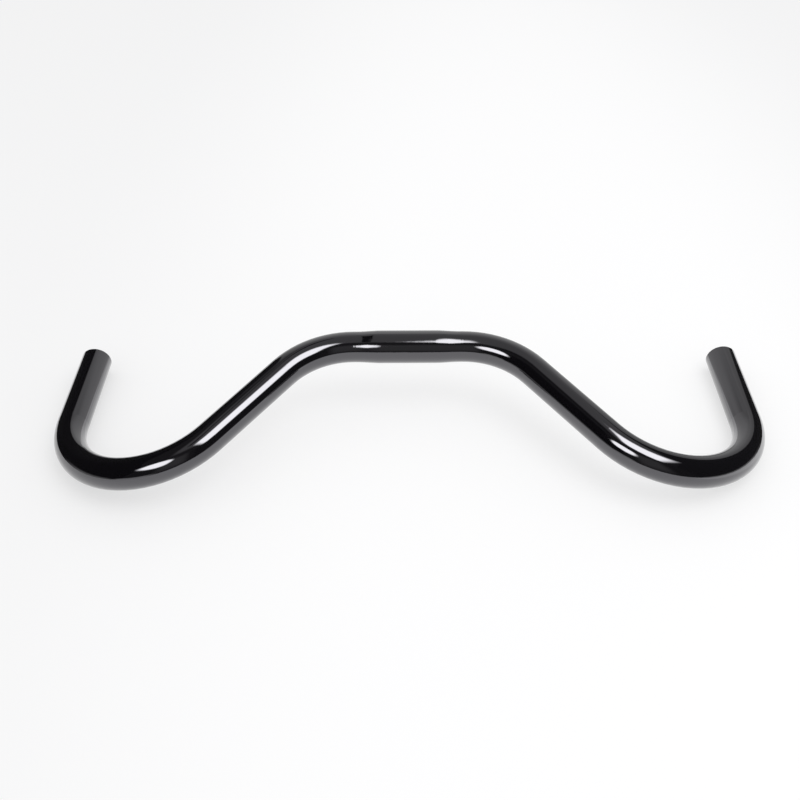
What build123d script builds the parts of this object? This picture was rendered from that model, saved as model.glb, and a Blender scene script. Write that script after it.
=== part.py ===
from build123d import *
from math import cos, radians, sin, tan
import os

os.makedirs("parts", exist_ok=True)

# A moustache handlebar: one aluminium tube, swaged out at its middle for the stem
# and bent four times. Millimetres, +Z up. The origin is the middle of the clamp zone,
# +X runs along the clamp axis to the right-hand side, and -Y is the way the bicycle
# rides. The grips are level, so the bar rests on their undersides.

# Tube
tube_diameter = 23.8
clamp_diameter = 25.4
wall = 2.0

# Straight runs, measured on the centreline from the middle outwards
clamp_length = 42.0  # full clamp diameter, what the stem holds
taper_length = 19.0  # each side, from the clamp diameter down to the tube
shoulder_length = 2.0  # plain tube between the taper and the first bend
leg_length = 79.0  # between the two bends of one side
grip_length = 80.0  # behind the second bend

# Bends
forward_bend_radius = 67.0  # on the centreline
forward_bend_turn = 52.0  # degrees, from the clamp axis towards the front
leg_dip = 9.6  # degrees, how far the first bend's plane is rolled below level
hook_bend_radius = 65.5  # on the centreline, turns the leg right round to the rear

# Cut ends
end_chamfer = 0.8  # outer rim
mouth_chamfer = 0.4  # bore rim

tube_radius = tube_diameter / 2
clamp_radius = clamp_diameter / 2
bore_radius = tube_radius - wall
clamp_bore_radius = clamp_radius - wall
clamp_edge = clamp_length / 2
swage_end = clamp_edge + taper_length

# Centreline of the right-hand side
clamp_direction = Vector(1, 0, 0)
leg_direction = Vector(
    cos(radians(forward_bend_turn)),
    -sin(radians(forward_bend_turn)) * cos(radians(leg_dip)),
    -sin(radians(forward_bend_turn)) * sin(radians(leg_dip)),
)
grip_direction = Vector(0, 1, 0)
hook_bend_turn = leg_direction.get_angle(grip_direction)

# A bend takes this much off the straight runs each side of its corner
forward_bend_reach = forward_bend_radius * tan(radians(forward_bend_turn / 2))
hook_bend_reach = hook_bend_radius * tan(radians(hook_bend_turn / 2))

limb_start = clamp_direction * swage_end
forward_corner = limb_start + clamp_direction * (shoulder_length + forward_bend_reach)
hook_corner = forward_corner + leg_direction * (forward_bend_reach + leg_length + hook_bend_reach)
bar_end = hook_corner + grip_direction * (hook_bend_reach + grip_length)

with BuildLine() as limb_route:
    FilletPolyline(
        limb_start,
        forward_corner,
        hook_corner,
        bar_end,
        radius=[forward_bend_radius, hook_bend_radius],
    )

with BuildPart() as handlebar:
    # Swaged middle: an S-shaped taper outside, and a bore that widens with it
    with BuildSketch(Plane.XZ):
        with BuildLine():
            for side in (-1, 1):
                hollow_arc = TangentArc(
                    (side * swage_end, tube_radius),
                    (side * (swage_end - taper_length / 2), (tube_radius + clamp_radius) / 2),
                    tangent=(-side, 0),
                )
                TangentArc(hollow_arc @ 1, (side * clamp_edge, clamp_radius), tangent=hollow_arc % 1)
                Line((side * swage_end, tube_radius), (side * swage_end, bore_radius))
                Line((side * swage_end, bore_radius), (side * clamp_edge, clamp_bore_radius))
            Line((-clamp_edge, clamp_radius), (clamp_edge, clamp_radius))
            Line((-clamp_edge, clamp_bore_radius), (clamp_edge, clamp_bore_radius))
        make_face()
    revolve(axis=Axis.X)

    # Right-hand limb: shoulder, forward bend, leg, hook bend and grip
    with BuildSketch(Plane(origin=limb_start, x_dir=(0, 1, 0), z_dir=clamp_direction)):
        Circle(tube_radius)
        Circle(bore_radius, mode=Mode.SUBTRACT)
    limb = sweep(path=limb_route.line, mode=Mode.PRIVATE)
    add(limb)
    add(mirror(limb, about=Plane.YZ, mode=Mode.PRIVATE))

    # Square-cut ends, chamfered outside and broken at the bore
    end_rims = handlebar.edges().group_by(Axis.Y)[-1].sort_by(SortBy.RADIUS)
    chamfer(end_rims[-2:], end_chamfer)
    chamfer(end_rims[:2], mouth_chamfer)

handlebar.part.label = "handlebar"
export_step(handlebar.part, "parts/handlebar.step")
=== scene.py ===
from math import cos, pi, radians, sin

import bpy
from mathutils import Matrix, Vector


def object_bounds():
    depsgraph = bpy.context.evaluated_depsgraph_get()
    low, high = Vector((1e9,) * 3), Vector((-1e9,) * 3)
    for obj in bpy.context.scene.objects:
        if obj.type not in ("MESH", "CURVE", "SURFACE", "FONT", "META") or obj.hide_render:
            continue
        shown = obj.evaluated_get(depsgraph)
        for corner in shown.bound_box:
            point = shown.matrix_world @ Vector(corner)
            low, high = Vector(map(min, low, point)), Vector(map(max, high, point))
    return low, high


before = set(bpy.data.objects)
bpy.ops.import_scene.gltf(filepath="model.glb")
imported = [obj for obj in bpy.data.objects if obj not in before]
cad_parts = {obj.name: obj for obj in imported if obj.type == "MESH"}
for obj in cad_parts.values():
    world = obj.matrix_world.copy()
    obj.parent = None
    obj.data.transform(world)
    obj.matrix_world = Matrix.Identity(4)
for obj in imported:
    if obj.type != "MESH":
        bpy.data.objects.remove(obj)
cad_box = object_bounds()

# A moustache handlebar in gloss black, resting on its grips on a pale table. Metres, +Z up;
# the origin is the middle of the clamp zone, +X is the rider's right and -Y is forwards.

table_height = cad_box[0].z


# Shader helpers

def new_material(name):
    """A material with nothing in it but its output node."""
    material = bpy.data.materials.new(name)
    material.use_nodes = True
    material.node_tree.nodes.clear()
    material.node_tree.nodes.new("ShaderNodeOutputMaterial")
    return material


def add_node(tree, kind, settings=None, **inputs):
    """A node with its settings, and its inputs set to numbers or linked to sockets."""
    node = tree.nodes.new(kind)
    for key, value in (settings or {}).items():
        setattr(node, key, value)
    for key, value in inputs.items():
        numbered = key[0] == "_" and key[1:].isdigit()
        socket = node.inputs[int(key[1:]) if numbered else key.replace("_", " ")]
        if isinstance(value, bpy.types.NodeSocket):
            tree.links.new(value, socket)
        else:
            socket.default_value = value
    return node


def seen_directly(tree):
    """1 for what the camera, a reflection or a clear material looks at, 0 for light that spreads."""
    path = add_node(tree, "ShaderNodeLightPath")
    camera_or_gloss = add_node(
        tree, "ShaderNodeMath", {"operation": "MAXIMUM"},
        _0=path.outputs["Is Camera Ray"], _1=path.outputs["Is Glossy Ray"],
    )
    return add_node(
        tree, "ShaderNodeMath", {"operation": "MAXIMUM"},
        _0=camera_or_gloss.outputs[0], _1=path.outputs["Is Transmission Ray"],
    ).outputs[0]


# Gloss black paint

paint_colour = (0.0023, 0.0019, 0.0030, 1)
paint_sheen = (0.94, 0.92, 1.0, 1)
paint_ior = 1.85
lacquer_ior = 1.5
paint_roughness = 0.06
lacquer_roughness = 0.03

# Grain of the clamp zone: how far it reaches to each side, how it fades, and its waves
grain_reach = 0.022
grain_fade = 0.004
grain_fineness = 900.0
grain_draw = 0.3  # below 1 draws the waves out along the bar
grain_depth = 0.00006


def clamp_grain(tree):
    """Height of the fine grain under the lacquer where a stem bites, fading out into the tapers."""
    place = add_node(tree, "ShaderNodeTexCoord")
    along = add_node(tree, "ShaderNodeSeparateXYZ", _0=place.outputs["Object"])
    out = add_node(tree, "ShaderNodeMath", {"operation": "ABSOLUTE"}, _0=along.outputs["X"])
    zone = add_node(
        tree, "ShaderNodeMapRange", {"interpolation_type": "SMOOTHSTEP"},
        Value=out.outputs[0], From_Min=grain_reach, From_Max=grain_reach + grain_fade,
        To_Min=1.0, To_Max=0.0,
    )
    drawn_out = add_node(
        tree, "ShaderNodeVectorMath", {"operation": "MULTIPLY"},
        _0=place.outputs["Object"], _1=(grain_draw, 1.0, 1.0),
    )
    grain = add_node(
        tree, "ShaderNodeTexNoise", _0=drawn_out.outputs["Vector"], Scale=grain_fineness, Detail=2.0
    )
    return add_node(
        tree, "ShaderNodeMath", {"operation": "MULTIPLY"}, _0=zone.outputs["Result"], _1=grain.outputs[0]
    ).outputs[0]


def gloss_black_paint():
    """Black paint under clear lacquer: two smooth skins, each with its own reflection."""
    material = new_material("gloss_black_paint")
    tree = material.node_tree
    grain = add_node(
        tree, "ShaderNodeBump", Height=clamp_grain(tree), Strength=0.5, Distance=grain_depth
    )
    paint = add_node(
        tree, "ShaderNodeBsdfPrincipled",
        Base_Color=paint_colour, Roughness=paint_roughness, IOR=paint_ior, Specular_Tint=paint_sheen,
        Coat_Weight=1.0, Coat_Roughness=lacquer_roughness, Coat_IOR=lacquer_ior,
        Normal=grain.outputs[0],
    )
    tree.links.new(paint.outputs[0], tree.nodes["Material Output"].inputs["Surface"])
    return material


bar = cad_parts["handlebar"]
paint = gloss_black_paint()
bar.data.materials.clear()
bar.data.materials.append(paint)


# Studio: where a lamp or card hangs, and which way it looks

def studio_place(centre, azimuth, elevation, turn=0):
    """Matrix at centre whose +Z axis points away from the object, at azimuth degrees from the front
    towards the right and elevation degrees up, turned about that axis."""
    a = radians(azimuth)
    e = radians(elevation)
    away = Vector((cos(e) * sin(a), -cos(e) * cos(a), sin(e)))
    level = Vector((cos(a), sin(a), 0))
    upward = away.cross(level)
    facing = Matrix((level, upward, away)).transposed().to_4x4()
    return Matrix.Translation(centre) @ facing @ Matrix.Rotation(radians(turn), 4, "Z")


def flat_sheet(name, width, height):
    """A rectangle about its own middle, facing +Z."""
    mesh = bpy.data.meshes.new(name)
    corners = [(x * width / 2, y * height / 2, 0) for x, y in ((-1, -1), (1, -1), (1, 1), (-1, 1))]
    mesh.from_pydata(corners, [], [(0, 1, 2, 3)])
    sheet = bpy.data.objects.new(name, mesh)
    bpy.context.scene.collection.objects.link(sheet)
    return sheet


def card(name, place, width, height, level, bright_share=1.0, corner_power=6):
    """A glowing sheet hung round the table for the paint to mirror. It lights nothing else. Beyond its
    bright share it fades out towards its rim; a corner power of 2 makes that rim round, more squarer."""
    sheet = flat_sheet(name, width, height)
    sheet.matrix_world = place
    material = new_material(name)
    tree = material.node_tree
    surface = add_node(tree, "ShaderNodeEmission", Strength=level)
    if bright_share < 1:
        cloth = add_node(tree, "ShaderNodeTexCoord")
        share = add_node(
            tree, "ShaderNodeVectorMath", {"operation": "DIVIDE"},
            _0=cloth.outputs["Object"], _1=(width / 2, height / 2, 1),
        )
        sides = add_node(tree, "ShaderNodeSeparateXYZ", _0=share.outputs["Vector"])
        raised = []
        for axis in ("X", "Y"):
            size = add_node(tree, "ShaderNodeMath", {"operation": "ABSOLUTE"}, _0=sides.outputs[axis])
            power = add_node(
                tree, "ShaderNodeMath", {"operation": "POWER"}, _0=size.outputs[0], _1=corner_power
            )
            raised.append(power.outputs[0])
        total = add_node(tree, "ShaderNodeMath", {"operation": "ADD"}, _0=raised[0], _1=raised[1])
        radius = add_node(
            tree, "ShaderNodeMath", {"operation": "POWER"}, _0=total.outputs[0], _1=1 / corner_power
        )
        fade = add_node(
            tree, "ShaderNodeMapRange", {"interpolation_type": "SMOOTHSTEP"},
            Value=radius.outputs[0], From_Min=bright_share, From_Max=1.0, To_Min=1.0, To_Max=0.0,
        )
        clear = add_node(tree, "ShaderNodeBsdfTransparent")
        surface = add_node(
            tree, "ShaderNodeMixShader",
            _0=fade.outputs["Result"], _1=clear.outputs[0], _2=surface.outputs[0],
        )
    tree.links.new(surface.outputs[0], tree.nodes["Material Output"].inputs["Surface"])
    sheet.data.materials.append(material)
    sheet.visible_camera = False
    sheet.visible_diffuse = False
    sheet.visible_shadow = False
    return sheet


# Two softboxes over the front, which give the bright highlights
softbox_level = 7.2
softbox_share = 0.62

card(
    "softbox_right", studio_place((0.226, -0.174, 0.592), 98, 59, -33),
    0.49, 0.50, softbox_level, softbox_share, 5,
)
card(
    "softbox_left", studio_place((-0.308, -0.601, 0.593), -23, 18, -12.5),
    0.57, 0.47, softbox_level, softbox_share, 2.5,
)

# A dark room behind everything else: half width, front and back in Y, and height
room_half_width = 1.3
room_front = -1.7
room_back = 2.3
room_height = 2.1
room_depth = room_back - room_front
room_middle = (room_back + room_front) / 2
room_width = 2 * room_half_width
room_top = table_height + room_height
wall_middle = table_height + room_height / 2
dark = 0.02

for name, centre, azimuth, elevation, width, height, level in (
    ("left_flag", (-room_half_width, room_middle, wall_middle), -90, 0, room_depth, room_height, 0.015),
    ("right_flag", (room_half_width, room_middle, wall_middle), 90, 0, room_depth, room_height, 0.03),
    ("front_flag", (0, room_front, wall_middle), 0, 0, room_width, room_height, 0.04),
    ("back_flag", (0, room_back, wall_middle), 180, 0, room_width, room_height, dark),
    ("top_flag", (0, room_middle, room_top), 0, 90, room_width, room_depth, 0.05),
):
    card(name, studio_place(centre, azimuth, elevation), width, height, level)

# Pale sheets round the table, and what is dark between and above them
floor_lift = 0.001

card("top_card", studio_place((0.38, 0.675, 2.0), 0, 90), 1.9, 3.3, 0.30, 0.75)
card("back_sheet", studio_place((0.05, 0.45, table_height), 180, 0), 1.08, 1.50, 0.56, 0.38)
card("lamp_boom", studio_place((-0.130, 0.12, 0.62), 0, 90), 0.045, 0.60, dark)
card(
    "back_right_sheet", studio_place((0.49, 0.46, table_height + 0.28), 180, 0),
    0.30, 0.60, 0.32, 0.7,
)
card("back_left_flag", studio_place((-0.61, 0.44, table_height + 0.25), 180, 0), 0.61, 0.50, dark)
card("front_gap", studio_place((0.08, -0.95, table_height + 0.65), 0, 0), 0.80, 1.5, 0.17, 0.35)
card("front_sheet", studio_place((-0.46, -0.72, table_height), 0, 0), 0.66, 0.24, 0.8, 0.5)
card("left_low_sheet", studio_place((-1.00, -0.45, table_height), -90, 0), 1.2, 0.34, 0.42, 0.3)
card("right_low_sheet", studio_place((1.00, -0.45, table_height), 90, 0), 1.7, 0.20, 0.48, 0.3)

# On the table itself
for name, x, y, width, depth, level, share in (
    ("back_floor_sheet", 0.05, 0.245, 0.62, 0.41, 0.55, 0.75),
    ("right_floor_sheet", 0.55, -0.17, 0.55, 0.44, 1.35, 0.8),
    ("left_floor_sheet", -0.46, -0.17, 0.37, 0.40, 0.90, 0.8),
):
    card(name, studio_place((x, y, table_height + floor_lift), 0, -90), width, depth, level, share)
for name, side in (("left_floor_flag", -1), ("right_floor_flag", 1)):
    place = studio_place((side * 0.82, 1.16, table_height + 2 * floor_lift), 0, -90)
    card(name, place, 0.96, 2.28, dark)


# One broad lamp above the right-hand side lays the soft shadow

lamp_direction = Vector((0.40, -0.19, 1.0)).normalized()
lamp_distance = 1.4
lamp_side = 1.0
lamp_level = 0.17


def broad_lamp():
    """lamp_level is its share of plain light on the table below it, where 1 shows a colour as it is."""
    lamp = bpy.data.lights.new("broad_lamp", "AREA")
    lamp.shape = "DISK"
    lamp.size = lamp_side
    lamp.energy = lamp_level * pi * pi * lamp_distance ** 2 / lamp_direction.z
    holder = bpy.data.objects.new("broad_lamp", lamp)
    centre = Vector((0, 0, table_height)) + lamp_direction * lamp_distance
    facing = lamp_direction.to_track_quat("Z", "Y").to_matrix().to_4x4()
    holder.matrix_world = Matrix.Translation(centre) @ facing
    holder.visible_camera = False
    holder.visible_glossy = False
    bpy.context.scene.collection.objects.link(holder)


broad_lamp()


# Pale table, seen evenly white while it keeps the bar's shadow

table_side = 60
table_colour = (0.42, 0.42, 0.425, 1)
table_glow = 0.605

# The painted pool of light on it: its middle in X, the radii where its fall starts and ends, and what is
# left
pool_middle = 0.12
pool_inner = 0.12
pool_outer = 0.48
pool_share = 0.90
pool_stretch = 0.25  # below 1 makes the pool longer from front to back


def pale_table():
    """Its glow is a wide painted pool of light round the bar, which falls off gently to both sides."""
    material = new_material("pale_table")
    tree = material.node_tree
    place = add_node(tree, "ShaderNodeTexCoord")
    long_pool = add_node(
        tree, "ShaderNodeVectorMath", {"operation": "MULTIPLY"},
        _0=place.outputs["Object"], _1=(1, pool_stretch, 1),
    )
    distance = add_node(
        tree, "ShaderNodeVectorMath", {"operation": "DISTANCE"},
        _0=long_pool.outputs["Vector"], _1=(pool_middle, 0, 0),
    )
    # painted light: the glow is brightest round the bar and dims outwards like a lamp's pool
    pool = add_node(
        tree, "ShaderNodeMapRange", {"interpolation_type": "SMOOTHSTEP"},
        Value=distance.outputs["Value"], From_Min=pool_inner, From_Max=pool_outer,
        To_Min=table_glow, To_Max=table_glow * pool_share,
    )
    strength = add_node(
        tree, "ShaderNodeMath", {"operation": "MULTIPLY"},
        _0=seen_directly(tree), _1=pool.outputs["Result"],
    )
    surface = add_node(
        tree, "ShaderNodeBsdfPrincipled",
        Base_Color=table_colour, Roughness=0.9, Specular_IOR_Level=0.0,
        Emission_Color=(1, 1, 1, 1), Emission_Strength=strength.outputs[0],
    )
    tree.links.new(surface.outputs[0], tree.nodes["Material Output"].inputs["Surface"])
    return material


table = flat_sheet("table", table_side, table_side)
table.location.z = table_height
table.data.materials.append(pale_table())

# Light that spreads from the room all round; what looks straight at it sees plain white
studio_fill = 0.78


def studio_world():
    world = bpy.data.worlds.new("studio")
    world.use_nodes = True
    tree = world.node_tree
    tree.nodes.clear()
    strength = add_node(
        tree, "ShaderNodeMapRange", {},
        Value=seen_directly(tree), From_Min=0.0, From_Max=1.0, To_Min=studio_fill, To_Max=1.0,
    )
    sky = add_node(
        tree, "ShaderNodeBackground", Color=(1, 1, 1, 1), Strength=strength.outputs["Result"]
    )
    output = add_node(tree, "ShaderNodeOutputWorld")
    tree.links.new(sky.outputs[0], output.inputs["Surface"])
    bpy.context.scene.world = world


studio_world()


# Camera

camera_spot = (-0.0022, -0.6121, 0.4761)
camera_tilt = 40.92
camera_yaw = 0.43
camera_roll = -0.50

lens = bpy.data.cameras.new("camera")
lens.lens = 45
lens.sensor_width = 36
camera = bpy.data.objects.new("camera", lens)
camera.matrix_world = (
    Matrix.Translation(camera_spot)
    @ Matrix.Rotation(radians(camera_yaw), 4, "Z")
    @ Matrix.Rotation(radians(90 - camera_tilt), 4, "X")
    @ Matrix.Rotation(radians(camera_roll), 4, "Z")
)
bpy.context.scene.collection.objects.link(camera)
bpy.context.scene.camera = camera
bpy.context.scene.view_settings.view_transform = "Standard"
